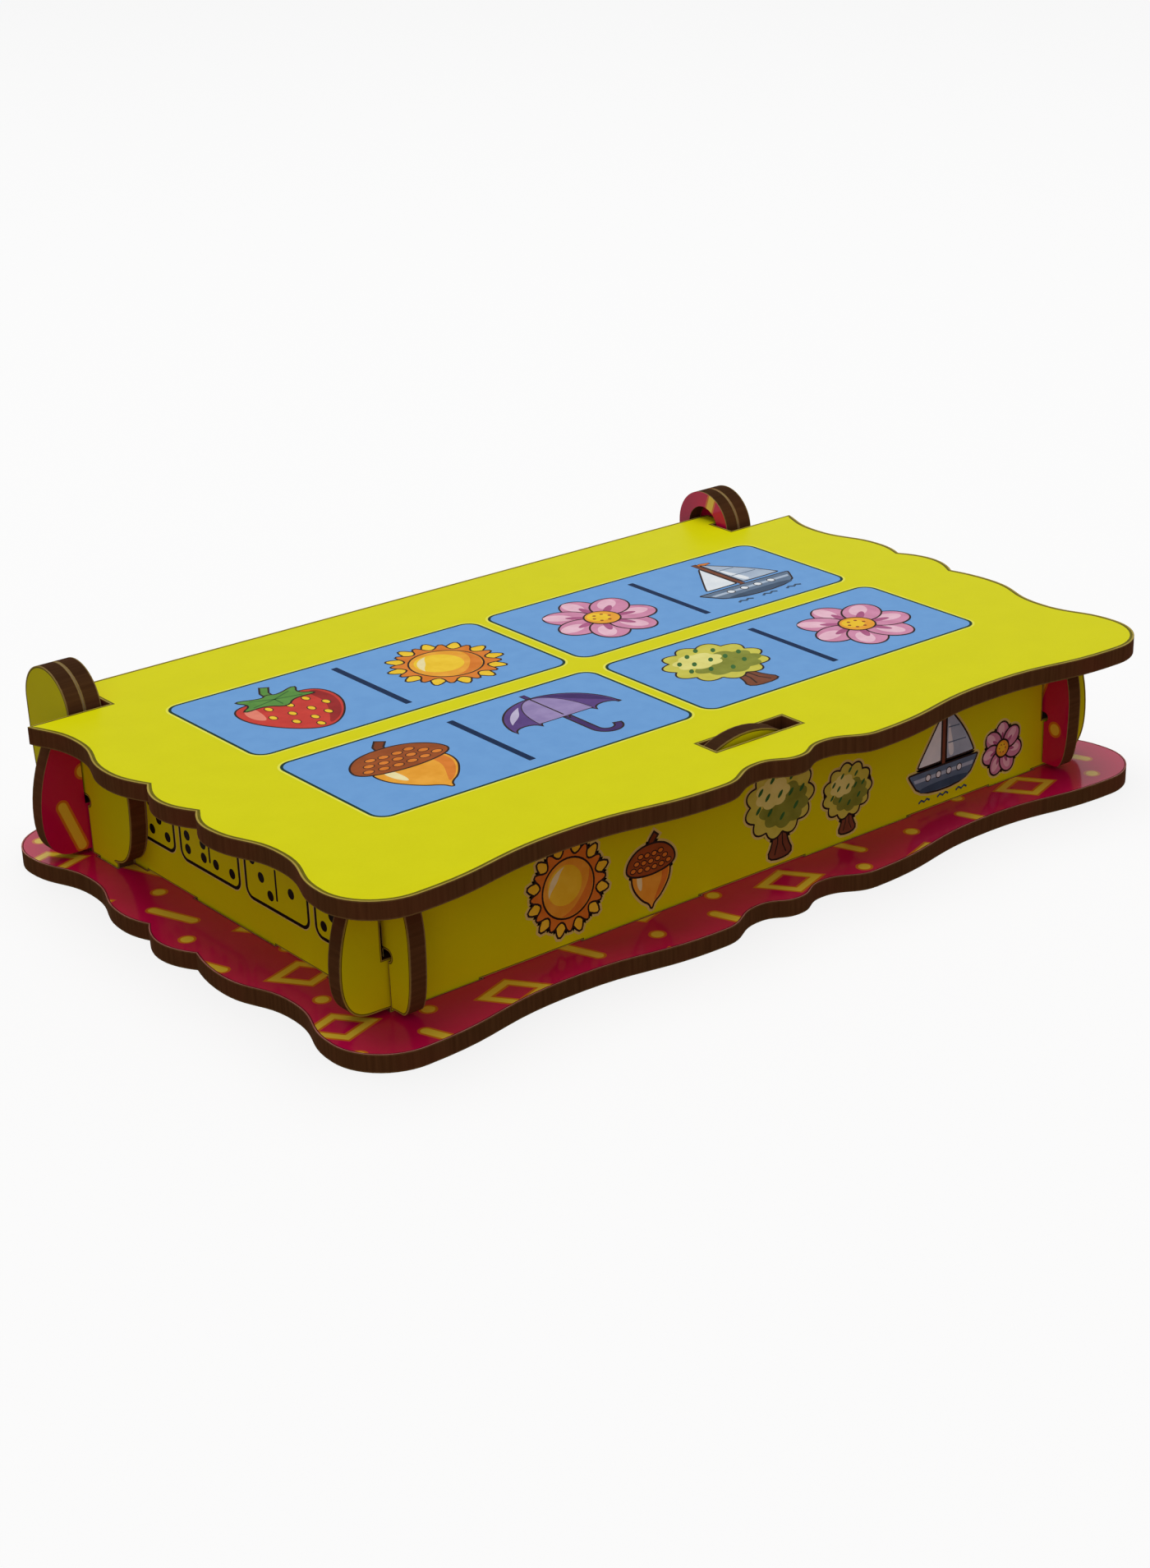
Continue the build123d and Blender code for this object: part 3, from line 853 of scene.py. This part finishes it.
# Stage: the floor reaches this many metres each way, and lies just clear of the base
FLOOR_REACH = 3.0
FLOOR_DROP = 0.02
FLOOR_BOUNCE = "#6C5648"
FLOOR_SHADOW = "#F4F4F4"
FLOOR_WHITE_SHARE = 0.82
ROOM_LIGHT = 0.38
WHITE = (1, 1, 1, 1)


def seen_rays(tree):
    """1 for rays that show a thing, straight, mirrored or through glass, and 0 for the light it gives."""
    path = add(tree, "LightPath").node.outputs
    seen = add(tree, "Math", {0: path["Is Camera Ray"], 1: path["Is Glossy Ray"]}, operation="MAXIMUM")
    return add(tree, "Math", {0: seen, 1: path["Is Transmission Ray"]}, operation="MAXIMUM")


def make_floor():
    """A pale table top: white to the camera but for the soft shadow, warm in the light it throws back."""
    mesh = bmesh.new()
    bmesh.ops.create_grid(mesh, x_segments=1, y_segments=1, size=FLOOR_REACH)
    data = bpy.data.meshes.new("floor")
    mesh.to_mesh(data)
    mesh.free()
    floor = bpy.data.objects.new("floor", data)
    bpy.context.scene.collection.objects.link(floor)
    floor.location.z = -FLOOR_DROP * MM
    material = bpy.data.materials.new("pale_table")
    material.use_nodes = True
    tree = material.node_tree
    tree.nodes.clear()
    bounce = add(tree, "BsdfDiffuse", {"Color": colour(FLOOR_BOUNCE)})
    shadow = add(tree, "BsdfDiffuse", {"Color": colour(FLOOR_SHADOW)})
    white = add(tree, "Emission", {"Color": WHITE, "Strength": 1.0})
    shown = add(tree, "MixShader", {0: FLOOR_WHITE_SHARE, 1: shadow, 2: white})
    both = add(tree, "MixShader", {0: seen_rays(tree), 1: bounce, 2: shown})
    add(tree, "OutputMaterial", {"Surface": both})
    data.materials.append(material)


def make_world():
    """A white room: plain white where it is seen, also in reflections, and dimmer as light."""
    world = bpy.data.worlds.new("studio")
    bpy.context.scene.world = world
    world.use_nodes = True
    tree = world.node_tree
    tree.nodes.clear()
    level = add(tree, "MapRange", {"Value": seen_rays(tree), "To Min": ROOM_LIGHT, "To Max": 1.0})
    light = add(tree, "Background", {"Color": WHITE, "Strength": level})
    add(tree, "OutputWorld", {"Surface": light})


def make_softbox(name, place, size, power, tint):
    """A square soft light that points at the middle of the box; place and size are in metres."""
    lamp = bpy.data.lights.new(name, "AREA")
    lamp.shape = "SQUARE"
    lamp.size = size
    lamp.energy = power
    lamp.color = tint
    light = bpy.data.objects.new(name, lamp)
    bpy.context.scene.collection.objects.link(light)
    light.location = place
    light.rotation_euler = (-Vector(place)).to_track_quat("-Z", "Y").to_euler()


make_floor()
make_world()
make_softbox("overhead", place=(0.1, 0.2, 1.45), size=1.3, power=14.0, tint=(1.0, 1.0, 1.0))
make_softbox("front_left", place=(-0.95, -1.05, 0.36), size=0.7, power=1.9, tint=(1.0, 0.52, 0.36))

# Camera: a short telephoto, from the front left and above, framed low and to the right.
# Its turn is in degrees. The lens comes from the focal length in pixels of the whole frame,
# and its shift from the pixel that it points at.
CAMERA_PLACE = (-273.2, -346.3, 191.5)
CAMERA_TURN = (64.084, 0.393, -41.512)
FOCAL_PIXELS = 3362.0
FRAME_PIXELS = (1400, 1909)
AXIS_PIXEL = (885.0, 1134.0)
FILM_HEIGHT = 36.0
camera_data = bpy.data.cameras.new("camera")
camera_data.sensor_fit = "VERTICAL"
camera_data.sensor_height = FILM_HEIGHT
camera_data.lens = FILM_HEIGHT * FOCAL_PIXELS / FRAME_PIXELS[1]
camera_data.shift_x = (FRAME_PIXELS[0] / 2 - AXIS_PIXEL[0]) / FRAME_PIXELS[1]
camera_data.shift_y = (AXIS_PIXEL[1] - FRAME_PIXELS[1] / 2) / FRAME_PIXELS[1]
camera = bpy.data.objects.new("camera", camera_data)
bpy.context.scene.collection.objects.link(camera)
camera.location = Vector(CAMERA_PLACE) * MM
camera.rotation_euler = Euler([math.radians(angle) for angle in CAMERA_TURN])
bpy.context.scene.camera = camera
bpy.context.scene.view_settings.view_transform = "Standard"
